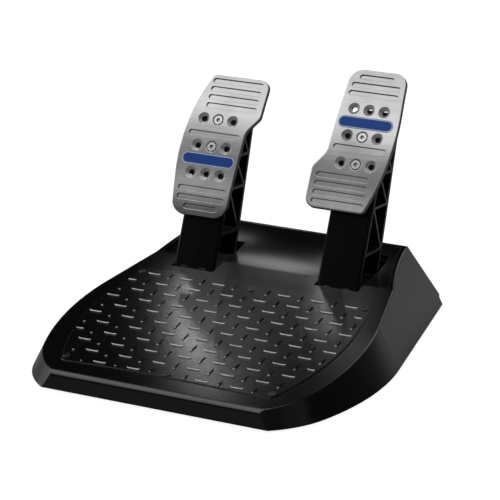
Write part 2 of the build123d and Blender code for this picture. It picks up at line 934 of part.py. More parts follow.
def arm_body():
    """Upper part of the arm: ridged front, flanges, web and ribs."""
    width = arm_width / 2
    lean = radians(arm_front_lean)
    plane = Plane(
        origin=(0, arm_front_reach, arm_front_rise), x_dir=(1, 0, 0), z_dir=(0, sin(lean), cos(lean))
    )
    depth = arm_top_rise
    outline = make_face(Polyline(
        (0, 0), (width, arm_ridge), (width, depth), (-width, depth), (-width, arm_ridge), close=True
    ))
    front = outline.vertices().sort_by(Axis.Y)[1:3]
    section = plane * fillet(front, arm_corner_radius)
    low, high = arm_shoulder_rise, arm_top_rise
    side = Polyline(
        (front_at(low), low), (rear_at(low), low), (rear_at(high), high), (front_at(high), high),
        close=True,
    )
    body = extrude(section, amount=arm_span, both=True) & side_prism(side, arm_span)
    pockets = arm_pockets()
    body -= x_bar(pockets, arm_web / 2, arm_width)
    body -= x_bar(pockets, -arm_width, -arm_web / 2)
    return body


def curve_centre():
    """Centre of the face's curve in the side view."""
    lean = radians(face_lean)
    middle = hole_pitch / 2
    u = lower_hole_reach + middle * face_tangent[0] + face_curve_radius * cos(lean)
    v = lower_hole_rise + middle * face_tangent[1] - face_curve_radius * sin(lean)
    return u, v


def face_plane(place=0.0, lift=0.0):
    """Plane on the face's front at a place up its curve from the middle between its screws."""
    angle = radians(180 - face_lean) - place / face_curve_radius
    u, v = curve_centre()
    radius = face_curve_radius + lift
    origin = (0, u + radius * cos(angle), v + radius * sin(angle))
    return Plane(origin=origin, x_dir=(1, 0, 0), z_dir=(0, cos(angle), sin(angle)))


def face_shell(top, low, half=arm_width * 2):
    """Shell between two depths below the face's curved front."""
    u, v = curve_centre()
    outer = disc_x(-half, half, u, v, face_curve_radius - top)
    return outer - disc_x(-half, half, u, v, face_curve_radius - low)


def band(low, high):
    """Everything between two heights over the pivot."""
    return block(-arm_span, arm_span, -arm_span, arm_span, low, high)


def lever_and_toe():
    """Spring lever with its nub and brace, and the toe that meets the rest stop."""
    top = lever_rise + lever_thickness
    lever = block(-lever_half_width, lever_half_width, 0, lever_tip, lever_rise, top)
    lever += disc_z(0, lever_reach, lever_rise - spring_nub_height, top, spring_nub_radius)
    brace = Polyline(
        (0, top - lever_thickness / 2), (lever_tip - lever_thickness, top - lever_thickness / 2),
        (lever_tip - lever_thickness, top), (rear_at(arm_shoulder_rise), arm_shoulder_rise),
        (0, arm_shoulder_rise), close=True,
    )
    lever += x_bar(make_face(brace), -arm_web / 2, arm_web / 2)
    toe = block(
        -toe_offset - toe_half_width, -toe_offset + toe_half_width, -toe_reach, 0,
        -toe_drop, toe_thickness - toe_drop,
    )
    return lever + toe


def gear_screw_places():
    """Places of the screws that hold the sector gear, about the pivot."""
    places = []
    for i in range(gear_screw_count):
        angle = 2 * pi * i / gear_screw_count + pi / 2
        places.append((gear_screw_circle * cos(angle), gear_screw_circle * sin(angle)))
    return places


def pedal_arm():
    """Moulded arm with its hub, lever, toe and the pad behind the face."""
    u_front, u_rear = front_at(arm_shoulder_rise), rear_at(arm_shoulder_rise)
    blade = Polyline(
        (u_front, arm_shoulder_rise), (-hub_radius, 0), (hub_radius, 0),
        (u_rear, arm_shoulder_rise), (u_rear, arm_shoulder_rise + arm_rear_flange),
        (u_front + arm_ridge, arm_shoulder_rise + arm_rear_flange), close=True,
    )
    arm = arm_body() + x_bar(make_face(blade), -blade_half_width, blade_half_width)
    arm += disc_x(-hub_half_length, gear_face_x, 0, 0, hub_radius)
    arm += disc_x(0, hub_half_length, 0, 0, spigot_radius)
    arm += lever_and_toe()
    for half, deep in ((pad_half_width, pad_reach), (pad_flange_half_width, pad_flange_reach)):
        pad = face_shell(face_thickness, face_thickness + deep, half)
        arm += pad & band(pad_start_rise, arm_top_rise)
    cut = face_shell(-arm_span / 4, face_thickness)
    arm -= cut & band(arm_top_rise / 2, arm_top_rise + face_thickness)
    arm -= disc_x(-arm_span, arm_span, 0, 0, bush_radius + thread_gap)
    for side in (-1, 1):
        seat = face_plane(side * hole_pitch / 2) * Circle(arm_insert_radius + thread_gap)
        depth = face_thickness + arm_insert_length + screw_gap
        arm -= extrude(seat, amount=-depth)
    for u, v in gear_screw_places():
        low = gear_face_x - gear_screw_bite
        arm -= disc_x(low, gear_face_x, u, v, gear_screw_radius + thread_gap)
    return arm


def bushes():
    """Plain bushes pressed into both ends of the hub."""
    pair = []
    for side in (-1, 1):
        low, high = sorted((side * (hub_half_length - bush_length), side * hub_half_length))
        sleeve = disc_x(low, high, 0, 0, bush_radius)
        pair.append(sleeve - disc_x(-arm_span, arm_span, 0, 0, axle_radius + axle_running_gap))
    return group(pair)


# Pedal face


def face_outline():
    """Outline of the face: narrow tail, side lobe at the head, one curved flank."""
    tail, head = -face_tail_length, face_head_length
    sides = Polyline(
        (left_side, left_side_end), (tail_left, tail), (tail_right, tail),
        (neck_side, neck_place), (lobe_side, lobe_place), (lobe_side, head), (head_left, head),
    )
    flank = ThreePointArc((head_left, head), (left_bend, left_bend_place), (left_side, left_side_end))
    outline = make_face(sides + flank)
    corners = (
        ((tail_left, tail), tail_corner_radius), ((tail_right, tail), tail_corner_radius),
        ((neck_side, neck_place), neck_radius), ((lobe_side, lobe_place), lobe_radius),
        ((lobe_side, head), head_right_radius), ((head_left, head), head_left_radius),
    )
    for point, radius in corners:
        corner = outline.vertices().sort_by_distance(point)[0]
        outline = fillet(corner, radius)
    return Pos(0, -hole_pitch / 2) * outline


def through_face(sketch, top, low):
    """Prism square to the face's middle, kept between two depths below its front."""
    prism = extrude(face_plane() * sketch, amount=pad_reach, both=True)
    return prism & face_shell(top, low)


def groove(low, high, place):
    """Outline of one round-ended groove."""
    slot = SlotOverall(high - low + groove_width, groove_width)
    return Pos((low + high) / 2, place - hole_pitch / 2) * slot


def grooves():
    """Outlines of all grooves of the face."""
    sketch = groove(*middle_groove_reach, middle_groove_place)
    for i in range(head_groove_count):
        sketch += groove(*head_groove_reach, head_groove_start + i * groove_pitch)
    for i, (low, high) in enumerate(tail_groove_reaches):
        sketch += groove(low, high, tail_groove_start - i * groove_pitch)
    return sketch


def badge_outline(grow=0.0):
    """Round-ended outline of the badge."""
    slot = SlotOverall(badge_length + 2 * grow, badge_height + 2 * grow)
    return Pos(0, badge_place - hole_pitch / 2) * slot


def face_plate():
    """Curved metal face with grooves, dimpled holes and a recess for the badge."""
    plate = through_face(face_outline(), 0, face_thickness).solid()
    u, v = curve_centre()
    rim = []
    for edge in plate.edges():
        middle = edge.position_at(0.5)
        if hypot(middle.Y - u, middle.Z - v) > face_curve_radius - face_edge_radius:
            rim.append(edge)
    plate = fillet(rim, face_edge_radius)
    plate -= through_face(grooves(), -face_thickness, groove_depth)
    plate -= through_face(badge_outline(badge_gap), -face_thickness, badge_recess)
    slope = (dimple_radius - face_hole_radius) / dimple_depth
    rise = dimple_depth + badge_gap
    for row in (-1, 0, 1):
        plane = face_plane(row * hole_pitch - hole_pitch / 2)
        for column in (-1, 0, 1):
            seat = plane * Pos(column * face_hole_spread, 0)
            mouth = face_hole_radius + slope * rise
            cone = Cone(face_hole_radius, mouth, rise)
            plate -= seat * Pos(0, 0, badge_gap - rise / 2) * cone
            plate -= seat * Cylinder(face_hole_radius, 4 * face_thickness)
    return plate


def badge():
    """Bare badge that sits in its recess."""
    return through_face(badge_outline(), badge_recess - badge_thickness, badge_recess)


def face_screw(side):
    """Sunk screw that holds the face to the arm."""
    seat = face_plane(side * hole_pitch / 2) * Pos(0, 0, -dimple_depth)
    slope = (dimple_radius - face_hole_radius) / dimple_depth
    rise = (face_screw_head_radius - face_hole_radius) / slope
    foot = face_hole_radius - thread_gap
    cone = Cone(foot, face_screw_head_radius - thread_gap, rise)
    screw = seat * Pos(0, 0, rise / 2) * cone
    rim = face_screw_head_height - rise
    screw += seat * Pos(0, 0, rise + rim / 2) * Cylinder(face_screw_head_radius - thread_gap, rim)
    shank = Cylinder(face_screw_radius - thread_gap, face_screw_length)
    screw += seat * Pos(0, 0, -face_screw_length / 2) * shank
    socket = seat * Pos(0, 0, face_screw_head_height) * RegularPolygon(face_screw_driver_radius, 6)
    return screw - extrude(socket, amount=-face_screw_driver_depth)


def arm_insert(side):
    """Threaded sleeve in the arm behind a face screw."""
    seat = face_plane(side * hole_pitch / 2, -face_thickness - thread_gap)
    ring = Circle(arm_insert_radius) - Circle(face_screw_radius)
    return extrude(seat * ring, amount=-arm_insert_length)


def turned(shape):
    """Turns a face and its badge half a turn about the face's middle."""
    plane = face_plane()
    return shape.rotate(Axis(plane.origin, plane.z_dir), 180)


# Gears and sensors, drawn about the pivot


def involute(angle):
    """Involute function of a pressure angle."""
    return tan(angle) - angle


def tooth(teeth, centre):
    """Outline of one tooth about the gear's middle, its flanks drawn as arcs."""
    pressure = radians(gear_pressure_angle)
    pitch_radius = gear_module * teeth / 2
    base = pitch_radius * cos(pressure)
    root = pitch_radius - gear_root_share * gear_module
    tip = pitch_radius + gear_addendum_share * gear_module
    thickness = pi * gear_module / 2 - gear_backlash / 2
    half = thickness / (2 * pitch_radius) + involute(pressure)
    low = max(base, root)

    def at(radius, side, inward=0.0):
        turn = half - involute(acos(min(1, base / radius)))
        angle = radians(centre) + side * turn
        return ((radius - inward) * cos(angle), (radius - inward) * sin(angle))

    middle = (low + tip) / 2
    sink = low - root + gear_module / 2
    first = ThreePointArc(at(low, -1), at(middle, -1), at(tip, -1))
    second = ThreePointArc(at(tip, 1), at(middle, 1), at(low, 1))
    rest = Line(at(tip, -1), at(tip, 1)) + Polyline(
        at(low, 1), at(low, 1, sink), at(low, -1, sink), at(low, -1)
    )
    return make_face(Curve() + [first, second] + rest.edges())


def sector_gear():
    """Toothed sector on the hub's spigot, with its fixing holes."""
    step = 360 / sector_teeth
    root = gear_module * (sector_teeth / 2 - gear_root_share)
    first = radians(180 + (sector_first_tooth - 1 / 2) * step)
    last = radians(180 + (sector_last_tooth + 1 / 2) * step)
    middle = (first + last) / 2
    ends = [(root * cos(a), root * sin(a)) for a in (first, middle, last)]
    wedge = make_face(ThreePointArc(*ends) + Polyline(ends[2], (0, 0), ends[0]))
    sketch = Circle(hub_radius) + wedge
    for k in range(sector_first_tooth, sector_last_tooth + 1):
        sketch += tooth(sector_teeth, 180 + k * step)
    sketch -= Circle(spigot_radius + spigot_gap)
    for u, v in gear_screw_places():
        sketch -= Pos(u, v) * Circle(gear_screw_radius + spigot_gap)
    return x_bar(sketch, gear_face_x, gear_face_x + gear_width)


def gear_screw(u, v):
    """Small screw that holds the sector gear to the hub."""
    face = gear_face_x + gear_width
    screw = disc_x(gear_face_x - gear_screw_bite + screw_gap, face, u, v, gear_screw_radius)
    head_end = face + gear_screw_head_height
    screw += disc_x(face, head_end, u, v, gear_screw_head_radius)
    socket = Plane.YZ.offset(head_end) * Pos(u, v) * RegularPolygon(driver_radius, 6)
    return screw - extrude(socket, amount=-driver_depth)


def pinion():
    """Sensor gear, a gap of it facing the sector's middle tooth at rest."""
    step = 360 / pinion_teeth
    root = gear_module * (pinion_teeth / 2 - gear_root_share)
    sketch = Circle(root)
    for k in range(pinion_teeth):
        sketch += tooth(pinion_teeth, (k + 1 / 2) * step)
    sketch -= Circle(shaft_radius + thread_gap)
    low, high = gear_face_x + pinion_inset, gear_face_x + gear_width - pinion_inset
    return Pos(0, -gear_centre_distance, 0) * x_bar(sketch, low, high)


def sensor_shaft():
    """Shaft that carries the sensor gear."""
    low = gear_face_x + pinion_inset
    high = bracket_x + shaft_depth
    return disc_x(low, high, -gear_centre_distance, 0, shaft_radius)


def sensor():
    """Sensor body with its threaded neck."""
    y = -gear_centre_distance
    body = disc_x(bracket_x, bracket_x + sensor_length, y, 0, sensor_radius)
    neck_end = gear_face_x + gear_width + pinion_inset
    body += disc_x(neck_end, bracket_x, y, 0, sensor_neck_radius)
    bore_end = bracket_x + shaft_depth + shaft_gap
    body -= disc_x(0, bore_end, y, 0, shaft_radius + shaft_gap)
    return body - sensor_terminals(thread_gap).solids()


def sensor_nut():
    """Hexagonal nut that clamps the sensor to its bracket."""
    start = hub_half_length - sensor_nut_thickness
    hexagon = RegularPolygon(sensor_nut_flats / 2, 6, major_radius=False)
    ring = hexagon - Circle(sensor_neck_radius + thread_gap)
    return Pos(0, -gear_centre_distance, 0) * x_bar(ring, start, hub_half_length)


def sensor_terminals(grow=0.0):
    """Three flat terminals held in slots under the sensor."""
    x = bracket_x + sensor_length / 2
    thick, wide = terminal_thickness / 2 + grow, terminal_width / 2 + grow
    top = -sensor_radius + terminal_length / 2 + grow
    pieces = []
    for i in (-1, 0, 1):
        y = -gear_centre_distance + i * terminal_pitch
        low = -sensor_radius - terminal_length
        pieces.append(block(x - thick, x + thick, y - wide, y + wide, low, top))
    return group(pieces)


# Board and cable outlet


def signal_board():
    """Board on four posts behind the pedals."""
    low = cover_top + board_stand
    half_x, half_y = board_length / 2, board_width / 2
    board = block(
        -half_x, half_x, board_from_front - half_y, board_from_front + half_y,
        low, low + board_thickness,
    )
    for x, y in board_points():
        board -= disc_z(x, y, 0, form_height, screw_radius + screw_gap)
    return board


def board_screw(x, y):
    """Pan head screw that holds the board."""
    seat = cover_top + board_stand + board_thickness
    screw = disc_z(x, y, cover_top + 2 * screw_gap, seat, screw_radius)
    screw += disc_z(x, y, seat, seat + screw_head_height, screw_head_radius)
    socket = Pos(x, y, seat + screw_head_height) * RegularPolygon(driver_radius, 6)
    return screw - extrude(socket, amount=-driver_depth)


def cable_connector():
    """Open header on the board for the cable."""
    low = cover_top + board_stand + board_thickness
    y = board_from_front + board_width / 2 - connector_width
    half = connector_length / 2
    shell = block(-half, half, y, y + connector_width, low, low + connector_height)
    inset = board_thickness
    return shell - block(
        inset - half, half - inset, y + inset, y + connector_width - inset,
        low + inset, low + connector_height + inset,
    )


def cable_grommet():
    """Rubber grommet in the wall of the rear pocket."""
    outer, inner = outlet_y(), outlet_y() - outlet_wall
    z = skirt_z + outlet_rise
    steps = (
        (inner - grommet_flange, inner, grommet_flange_radius),
        (inner, outer, outlet_radius - thread_gap),
        (outer, outer + grommet_flange, grommet_flange_radius),
        (outer + grommet_flange, outer + grommet_flange + grommet_nose, grommet_nose_radius),
    )
    grommet = Part()
    for low, high, radius in steps:
        grommet += disc_y(low, high, 0, z, radius)
    return grommet - disc_y(0, base_depth, 0, z, cable_radius)


def disc_y(y_low, y_high, x, z, radius):
    """Cylinder along Y between two stations."""
    length = y_high - y_low
    return Pos(x, y_low + length / 2, z) * Rot(90, 0, 0) * Cylinder(radius, length)


def keep_pedal(pedal):
    """Files the parts of one pedal."""
    place = Pos(centre_x(pedal), pivot_y(pedal), pivot_height)
    spin = turned if pedal == "throttle" else lambda shape: shape
    screws = group([gear_screw(u, v) for u, v in gear_screw_places()])
    pieces = {
        "arm": pedal_arm(),
        "face_plate": spin(face_plate()),
        "badge": spin(badge()),
        "face_screws": group([face_screw(-1), face_screw(1)]),
        "arm_inserts": group([arm_insert(-1), arm_insert(1)]),
        "bushes": bushes(),
        "sector_gear": sector_gear(),
        "sector_screws": screws,
        "sensor_gear": pinion(),
        "sensor_shaft": sensor_shaft(),
        "sensor": sensor(),
        "sensor_nut": sensor_nut(),
        "sensor_terminals": sensor_terminals(),
    }
    for name, shape in pieces.items():
        keep(f"{pedal}_{name}", place * shape)
    keep(f"{pedal}_axle", axle(pedal))
    keep(f"{pedal}_axle_caps", group([axle_cap(pedal, s) for s in (-1, 1)]))
    keep(f"{pedal}_cap_screws", group([cap_screw(pedal, s, e) for s in (-1, 1) for e in (-1, 1)]))
    keep(f"{pedal}_return_spring", return_spring(pedal))
    keep(f"{pedal}_rest_stop", rest_stop(pedal))
    keep(f"{pedal}_end_stop", end_stop(pedal))


if __name__ == "__main__":
    os.makedirs("parts", exist_ok=True)
    keep("top_housing", top_housing())
    keep("tread_plate", tread_plate())
    keep("tread_plate_screws", group([panel_screw(x, y) for x, y in tread_screw_points()]))
    keep("bottom_cover", bottom_cover())
    keep("bottom_cover_screws", group([cover_screw(x, y) for x, y in cover_screw_points()]))
    keep("rubber_feet", group([rubber_foot(x, y) for x, y in foot_points()]))
    keep("mounting_inserts", group([mounting_insert(x, y) for x, y in insert_points()]))
    keep("signal_board", signal_board())
    keep("board_screws", group([board_screw(x, y) for x, y in board_points()]))
    keep("cable_connector", cable_connector())
    keep("cable_grommet", cable_grommet())
    for side in ("brake", "throttle"):
        keep_pedal(side)
    for name, shape in PARTS.items():
        export_step(shape, f"parts/{name}.step")
        print(name, len(shape.solids()), round(shape.volume))
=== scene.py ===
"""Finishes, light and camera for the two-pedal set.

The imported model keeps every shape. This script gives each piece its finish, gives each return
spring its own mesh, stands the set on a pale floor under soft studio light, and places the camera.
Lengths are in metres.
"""
import json
from math import cos, pi, radians, sin

import bpy
from mathutils import Matrix, Vector


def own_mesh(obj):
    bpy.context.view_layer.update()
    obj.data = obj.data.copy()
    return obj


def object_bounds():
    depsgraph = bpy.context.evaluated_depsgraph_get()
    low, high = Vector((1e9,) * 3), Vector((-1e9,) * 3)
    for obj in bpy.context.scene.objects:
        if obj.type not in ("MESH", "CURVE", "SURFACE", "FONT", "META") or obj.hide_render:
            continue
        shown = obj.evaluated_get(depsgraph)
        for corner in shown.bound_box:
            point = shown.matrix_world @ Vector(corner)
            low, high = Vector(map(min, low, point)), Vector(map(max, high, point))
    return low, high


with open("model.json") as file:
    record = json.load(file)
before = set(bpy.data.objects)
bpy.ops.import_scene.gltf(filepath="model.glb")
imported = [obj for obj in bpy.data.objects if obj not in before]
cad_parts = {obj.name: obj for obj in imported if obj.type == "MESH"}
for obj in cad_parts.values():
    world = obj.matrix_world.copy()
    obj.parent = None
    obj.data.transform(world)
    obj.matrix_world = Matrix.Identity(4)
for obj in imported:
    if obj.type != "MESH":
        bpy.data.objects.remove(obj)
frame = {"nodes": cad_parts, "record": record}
cad_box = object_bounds()

# Camera, from the photograph, with its lens and sensor in millimetres
camera_azimuth = radians(26.03)
camera_elevation = radians(19.43)
camera_place = Vector((0.7907, -1.6045, 0.7070))
camera_lens = 180.2
camera_sensor = 36.0

# Shapes that the finishes follow
lip_front = cad_box[0][1]
lip_reach = 0.0120
lip_lean = radians(52.0)
panel_tilt = radians(7.8)
panel_point = Vector((0.0, 0.0166, 0.0370))
plate_top = 0.0008
bar_crest = 0.0018
face_lean = radians(32.8)
badge_centres = (Vector((-0.0613, 0.0654, 0.1205)), Vector((0.0593, 0.0957, 0.1578)))
badge_half_straight = 0.0180
badge_radius = 0.0046
edge_width = 0.0003
recess_depth = 0.0024
sharp_edge = radians(28.0)

# Fine relief of the finishes
grain_height = 0.0001
brushed_height = 0.00004
turned_height = 0.00005

# Soft boxes that the gloss mirrors, as stops of a place and a brightness. Along the turn, nought is
# ahead of the set, a half is overhead and one is behind it. Across, nought is at its left.
overhead_turn = (
    (0.0, 0.0), (0.15, 0.01), (0.165, 0.05), (0.18, 0.16), (0.2, 0.07), (0.23, 0.05),
    (0.26, 0.11), (0.29, 0.29), (0.36, 0.2), (0.41, 0.2), (0.44, 0.36), (0.53, 0.36),
    (0.58, 0.0), (0.87, 0.0), (0.97, 0.036),
)
overhead_across = ((0.5, 1.0), (0.85, 0.15))
left_across = ((0.0, 0.22), (0.1, 0.0))
rear_turn = ((0.68, 0.0), (0.75, 1.0), (0.87, 1.0), (0.93, 0.0))
rear_across = ((0.45, 0.0), (0.52, 0.6), (0.7, 0.0))
box_level = 4.0

# Floor
floor_reach = 6.0
floor_tone = 0.2
floor_to_eye = 0.88
floor_to_object = 0.4
floor_mirrored = ((0.4, 0.0), (0.65, 0.2))

# Small lamps that glow in the tread and in the scoop: place, aimed point, width and power
lamp_spread = radians(26.0)
glows = {
    "left glow": ((-0.202, 0.281, 0.286), (-0.011, -0.036, 0.030), 0.05, 0.0021),
    "right glow": ((-0.100, 0.355, 0.294), (0.070, 0.026, 0.038), 0.03, 0.0005),
    "scoop glow": ((-0.181, 0.427, 0.246), (0.001, 0.067, 0.043), 0.09, 0.00095),
}

# Node helpers


def new_material(name):
    """Empty node material with a Principled shader on its output."""
    material = bpy.data.materials.new(name)
    material.use_nodes = True
    tree = material.node_tree
    tree.nodes.clear()
    shader = tree.nodes.new("ShaderNodeBsdfPrincipled")
    output = tree.nodes.new("ShaderNodeOutputMaterial")
    tree.links.new(shader.outputs["BSDF"], output.inputs["Surface"])
    return material, tree, shader


def set_values(node, **values):
    """Plain values on a node's own sockets, by their names with spaces as underscores."""
    for key, value in values.items():
        node.inputs[key.replace("_", " ")].default_value = value


def add(tree, kind, **settings):
    """New node with its settings."""
    node = tree.nodes.new(kind)
    for key, value in settings.items():
        setattr(node, key, value)
    return node


def grey(tone):
    """Grey as a colour."""
    return (tone, tone, tone)


def ramp(tree, value, stops):
    """Colour ramp between stops, each a place and a grey tone or a colour."""
    node = add(tree, "ShaderNodeValToRGB")
    elements = node.color_ramp.elements
    while len(elements) < len(stops):
        elements.new(0.5)
    for element, (place, tone) in zip(elements, stops):
        colour = tone if isinstance(tone, tuple) else grey(tone)
        element.position = place
        element.color = (*colour, 1.0)
    tree.links.new(value, node.inputs["Fac"])
    return node.outputs["Color"]


def calc(tree, operation, first, second=0.0, third=0.0):
    """Math node on sockets or plain numbers."""
    node = add(tree, "ShaderNodeMath", operation=operation)
    for socket, value in zip(node.inputs, (first, second, third)):
        if isinstance(value, (int, float)):
            socket.default_value = value
        else:
            tree.links.new(value, socket)
    return node.outputs["Value"]


def along(tree, vector, direction):
    """Dot product of a vector socket with a fixed direction."""
    node = add(tree, "ShaderNodeVectorMath", operation="DOT_PRODUCT")
    node.inputs[1].default_value = direction
    tree.links.new(vector, node.inputs[0])
    return node.outputs["Value"]


def parts_of(tree, vector):
    """X, Y and Z of a vector socket."""
    node = add(tree, "ShaderNodeSeparateXYZ")
    tree.links.new(vector, node.inputs["Vector"])
    return node.outputs["X"], node.outputs["Y"], node.outputs["Z"]


def mix(tree, factor, first, second):
    """Mix of two colours, each a socket or a plain colour."""
    node = add(tree, "ShaderNodeMix", data_type="RGBA")
    for name, value in (("Factor", factor), ("A", first), ("B", second)):
        socket = next(s for s in node.inputs if s.name == name and s.enabled)
        if isinstance(value, tuple):
            socket.default_value = (*value, 1.0)
        else:
            tree.links.new(value, socket)
    return next(s for s in node.outputs if s.enabled)


def noise(tree, vector, **values):
    """Noise texture over a vector socket, as its factor."""
    node = add(tree, "ShaderNodeTexNoise")
    set_values(node, **values)
    tree.links.new(vector, node.inputs["Vector"])
    return node.outputs["Fac"]


def object_point(tree):
    """Place on the object, in metres."""
    return add(tree, "ShaderNodeTexCoord").outputs["Object"]


def surface_normal(tree):
    """Normal of the surface, in the scene's axes."""
    return add(tree, "ShaderNodeNewGeometry").outputs["Normal"]


def new_group(name, inputs, outputs):
    """Node group with named inputs, each with a value, and named outputs."""
    group = bpy.data.node_groups.new(name, "ShaderNodeTree")
    for label, value in inputs.items():
        socket = group.interface.new_socket(
            name=label, in_out="INPUT", socket_type="NodeSocketFloat"
        )
        socket.default_value = value
    for label, kind in outputs.items():
        group.interface.new_socket(name=label, in_out="OUTPUT", socket_type=kind)
    return group, add(group, "NodeGroupInput").outputs, add(group, "NodeGroupOutput").inputs


def use_group(tree, group, **values):
    """Places a group in a material, with its own values."""
    node = add(tree, "ShaderNodeGroup", node_tree=group)
    set_values(node, **values)
    return node.outputs


# Shared effects


def moulded_grain():
    """Fine grain of moulded or turned surfaces: height and a slow change of roughness."""
    group, given, made = new_group(
        "moulded grain",
        {"Grain Scale": 2600.0, "Low Roughness": 0.4, "High Roughness": 0.5},
        {"Height": "NodeSocketFloat", "Roughness": "NodeSocketFloat"},
    )
    point = object_point(group)
    fine = add(group, "ShaderNodeTexNoise")
    set_values(fine, Detail=3.0)
    group.links.new(point, fine.inputs["Vector"])
    group.links.new(given["Grain Scale"], fine.inputs["Scale"])
    slow = noise(group, point, Scale=24.0, Detail=4.0)
    span = calc(group, "SUBTRACT", given["High Roughness"], given["Low Roughness"])
    rough = calc(group, "MULTIPLY_ADD", slow, span, given["Low Roughness"])
    group.links.new(fine.outputs["Fac"], made["Height"])
    group.links.new(rough, made["Roughness"])
    return group


def brushed_lines():
    """Fine lines of brushed metal that run along X: tone, height and roughness."""
    group, given, made = new_group(
        "brushed lines",
        {"Line Scale": 2400.0, "Line Length": 0.012, "Low Roughness": 0.24, "High Roughness": 0.42},
        {"Tone": "NodeSocketFloat", "Height": "NodeSocketFloat", "Roughness": "NodeSocketFloat"},
    )
    point = object_point(group)
    stretch = add(group, "ShaderNodeCombineXYZ")
    set_values(stretch, Y=1.0, Z=1.0)
    group.links.new(given["Line Length"], stretch.inputs["X"])
    scaled = add(group, "ShaderNodeVectorMath", operation="MULTIPLY")
    group.links.new(point, scaled.inputs[0])
    group.links.new(stretch.outputs["Vector"], scaled.inputs[1])
    lines = add(group, "ShaderNodeTexNoise")
    set_values(lines, Detail=5.0, Roughness=0.7)
    group.links.new(scaled.outputs["Vector"], lines.inputs["Vector"])
    group.links.new(given["Line Scale"], lines.inputs["Scale"])
    cloud = calc(group, "MULTIPLY_ADD", noise(group, point, Scale=38.0, Detail=3.0), 1.6, 0.2)
    span = calc(group, "SUBTRACT", given["High Roughness"], given["Low Roughness"])
    rough = calc(group, "MULTIPLY_ADD", lines.outputs["Fac"], span, given["Low Roughness"])
    group.links.new(calc(group, "MULTIPLY", lines.outputs["Fac"], cloud), made["Tone"])
    group.links.new(lines.outputs["Fac"], made["Height"])
    group.links.new(rough, made["Roughness"])
    return group


def rounded_edges():
    """Softened normal at the edges, a mask of those edges for painted highlights, and a mask of open
    surface for painted shade.
    """
    group, given, made = new_group(
        "rounded edges",
        {"Width": edge_width, "Recess": recess_depth},
        {"Normal": "NodeSocketVector", "Edge": "NodeSocketFloat", "Open": "NodeSocketFloat"},
    )
    bevel = add(group, "ShaderNodeBevel", samples=6)
    group.links.new(given["Width"], bevel.inputs["Radius"])
    same = add(group, "ShaderNodeVectorMath", operation="DOT_PRODUCT")
    group.links.new(bevel.outputs["Normal"], same.inputs[0])
    group.links.new(surface_normal(group), same.inputs[1])
    turned = calc(group, "SUBTRACT", 1.0, same.outputs["Value"])
    shade = add(group, "ShaderNodeAmbientOcclusion", samples=6)
    group.links.new(given["Recess"], shade.inputs["Distance"])
    group.links.new(bevel.outputs["Normal"], made["Normal"])
    group.links.new(ramp(group, turned, ((0.004, 0.0), (0.03, 1.0))), made["Edge"])
    group.links.new(shade.outputs["AO"], made["Open"])
    return group


grain = moulded_grain()
brushing = brushed_lines()
edging = rounded_edges()

# Finishes


def add_bump(tree, shader, height, strength, distance, normal=None):
    """Bump on the shader's normal from a height, over a softened normal where one is given."""
    bump = add(tree, "ShaderNodeBump")
    set_values(bump, Strength=strength, Distance=distance)
    tree.links.new(height, bump.inputs["Height"])
    if normal is not None:
        tree.links.new(normal, bump.inputs["Normal"])
    tree.links.new(bump.outputs["Normal"], shader.inputs["Normal"])


def moulded_plastic(name, colour, rough, bump, scale=2600.0):
    """Moulded plastic or rubber with a fine grain."""
    material, tree, shader = new_material(name)
    set_values(shader, Base_Color=(*colour, 1.0))
    low, high = rough
    effect = use_group(tree, grain, Grain_Scale=scale, Low_Roughness=low, High_Roughness=high)
    tree.links.new(effect["Roughness"], shader.inputs["Roughness"])
    add_bump(tree, shader, effect["Height"], strength=bump, distance=grain_height)
    return material


def lip_highlight_share(tree):
    """One on the rounding of the housing's front lip, where its painted highlight goes, nought elsewhere.
    """
    behind = calc(tree, "SUBTRACT", parts_of(tree, object_point(tree))[1], lip_front)
    near = ramp(tree, calc(tree, "DIVIDE", behind, lip_reach), ((0.5, 1.0), (0.7, 0.0)))
    square = Vector((0.0, -cos(lip_lean), sin(lip_lean)))
    turned = ramp(tree, along(tree, surface_normal(tree), square), ((0.88, 0.0), (0.96, 1.0)))
    return calc(tree, "MULTIPLY", near, turned)


def edged_plastic(name, colour, rough, specular, edge_highlight_tone, lip_highlight_tone=None):
    """Black moulded plastic with a painted highlight on its edges, and on the lip where there is one."""
    material, tree, shader = new_material(name)
    set_values(shader, Specular_IOR_Level=specular)
    low, high = rough
    effect = use_group(tree, grain, Low_Roughness=low, High_Roughness=high)
    edges = use_group(tree, edging)
    # Painted highlight: the edges are lightened in the base colour, where they would catch the light.
    colour = mix(tree, edges["Edge"], colour, grey(edge_highlight_tone))
    # Painted highlight: a lighter band on the rounding of the front lip.
    if lip_highlight_tone is not None:
        colour = mix(tree, lip_highlight_share(tree), colour, grey(lip_highlight_tone))
    tree.links.new(colour, shader.inputs["Base Color"])
    tree.links.new(effect["Roughness"], shader.inputs["Roughness"])
    add_bump(tree, shader, effect["Height"], strength=0.12, distance=grain_height)
    return material


